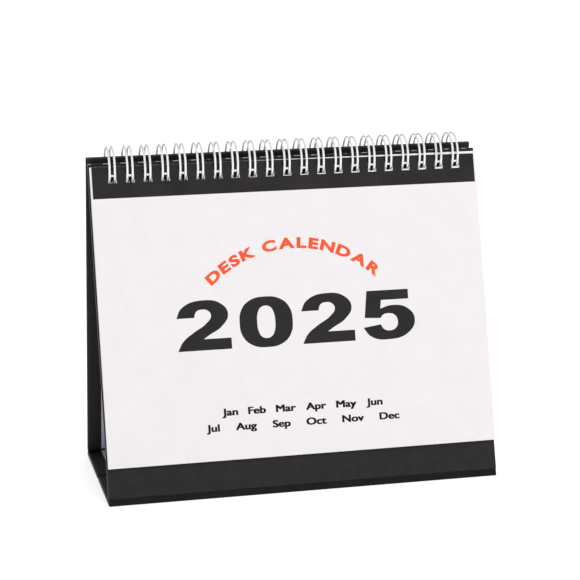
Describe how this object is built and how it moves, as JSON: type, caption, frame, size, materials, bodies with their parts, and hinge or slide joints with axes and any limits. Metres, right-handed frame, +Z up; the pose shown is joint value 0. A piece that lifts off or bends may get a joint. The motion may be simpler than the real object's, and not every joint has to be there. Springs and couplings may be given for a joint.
{
  "type": "flip desk calendar",
  "caption": "Desk calendar: punched leaves turn over a twin-loop wire at the top of a folding tent-shaped board stand.",
  "frame": {"origin": "middle of the stand's footprint, on the surface it stands on", "axes": "+Z up, -Y towards the reader of the leaves, +X to the reader's right"},
  "size_m": [0.1914, 0.089, 0.1651],
  "materials": {
    "wrap_paper": "matt textured black cover paper",
    "greyboard": "raw greyboard",
    "liner_paper": "matt pale liner paper",
    "leaf_paper": "printed coated card",
    "white_wire": "white nylon-coated steel wire"
  },
  "bodies": {
    "front_panel": {"front_panel_board": "greyboard", "front_panel_wrap": "wrap_paper", "front_panel_liner": "liner_paper", "front_foot_hinge": "wrap_paper", "binding_wire": "white_wire"},
    "rear_panel": {"rear_panel_board": "greyboard", "rear_panel_wrap": "wrap_paper", "rear_panel_liner": "liner_paper", "rear_foot_hinge": "wrap_paper"},
    "front_base": {"front_base_board": "greyboard", "front_base_wrap": "wrap_paper", "front_base_liner": "liner_paper"},
    "rear_base": {"rear_base_board": "greyboard", "rear_base_wrap": "wrap_paper", "rear_base_liner": "liner_paper"},
    "cover": {"cover_leaf": "leaf_paper"},
    "month_01": {"month_01_leaf": "leaf_paper"},
    "month_02": {"month_02_leaf": "leaf_paper"},
    "month_03": {"month_03_leaf": "leaf_paper"},
    "month_04": {"month_04_leaf": "leaf_paper"},
    "month_05": {"month_05_leaf": "leaf_paper"},
    "month_06": {"month_06_leaf": "leaf_paper"},
    "month_07": {"month_07_leaf": "leaf_paper"},
    "month_08": {"month_08_leaf": "leaf_paper"},
    "month_09": {"month_09_leaf": "leaf_paper"},
    "month_10": {"month_10_leaf": "leaf_paper"},
    "month_11": {"month_11_leaf": "leaf_paper"},
    "month_12": {"month_12_leaf": "leaf_paper"}
  },
  "joints": [
    {"name": "base_fold", "type": "hinge", "parent": "front_panel", "child": "front_base", "pos_m": [0, -0.04116, 0.0027], "axis": [1, 0, 0], "range_deg": [0, 73], "deforming": ["front_foot_hinge"]},
    {"name": "rear_panel_close", "type": "hinge", "parent": "front_panel", "child": "rear_panel", "pos_m": [0, 0, 0.1548], "axis": [-1, 0, 0], "range_deg": [0, 8]},
    {"name": "rear_base_fold", "type": "hinge", "parent": "rear_panel", "child": "rear_base", "pos_m": [0, 0.04116, 0.0027], "axis": [-1, 0, 0], "range_deg": [0, 73], "deforming": ["rear_foot_hinge"]},
    {"name": "month_12_turn", "type": "hinge", "parent": "front_panel", "child": "month_12", "pos_m": [0, 0, 0.1548], "axis": [-1, 0, 0], "range_deg": [0, 180]},
    {"name": "month_11_turn", "type": "hinge", "parent": "month_12", "child": "month_11", "pos_m": [0, 0, 0.1548], "axis": [-1, 0, 0], "range_deg": [0, 180]},
    {"name": "month_10_turn", "type": "hinge", "parent": "month_11", "child": "month_10", "pos_m": [0, 0, 0.1548], "axis": [-1, 0, 0], "range_deg": [0, 180]},
    {"name": "month_09_turn", "type": "hinge", "parent": "month_10", "child": "month_09", "pos_m": [0, 0, 0.1548], "axis": [-1, 0, 0], "range_deg": [0, 180]},
    {"name": "month_08_turn", "type": "hinge", "parent": "month_09", "child": "month_08", "pos_m": [0, 0, 0.1548], "axis": [-1, 0, 0], "range_deg": [0, 180]},
    {"name": "month_07_turn", "type": "hinge", "parent": "month_08", "child": "month_07", "pos_m": [0, 0, 0.1548], "axis": [-1, 0, 0], "range_deg": [0, 180]},
    {"name": "month_06_turn", "type": "hinge", "parent": "month_07", "child": "month_06", "pos_m": [0, 0, 0.1548], "axis": [-1, 0, 0], "range_deg": [0, 180]},
    {"name": "month_05_turn", "type": "hinge", "parent": "month_06", "child": "month_05", "pos_m": [0, 0, 0.1548], "axis": [-1, 0, 0], "range_deg": [0, 180]},
    {"name": "month_04_turn", "type": "hinge", "parent": "month_05", "child": "month_04", "pos_m": [0, 0, 0.1548], "axis": [-1, 0, 0], "range_deg": [0, 180]},
    {"name": "month_03_turn", "type": "hinge", "parent": "month_04", "child": "month_03", "pos_m": [0, 0, 0.1548], "axis": [-1, 0, 0], "range_deg": [0, 180]},
    {"name": "month_02_turn", "type": "hinge", "parent": "month_03", "child": "month_02", "pos_m": [0, 0, 0.1548], "axis": [-1, 0, 0], "range_deg": [0, 180]},
    {"name": "month_01_turn", "type": "hinge", "parent": "month_02", "child": "month_01", "pos_m": [0, 0, 0.1548], "axis": [-1, 0, 0], "range_deg": [0, 180]},
    {"name": "cover_turn", "type": "hinge", "parent": "month_01", "child": "cover", "pos_m": [0, 0, 0.1548], "axis": [-1, 0, 0], "range_deg": [0, 180]}
  ],
  "couplings": [
    {"joint": "rear_base_fold", "follows": "base_fold", "ratio": 1},
    {"joint": "rear_panel_close", "follows": "base_fold", "ratio": 0.10959}
  ]
}
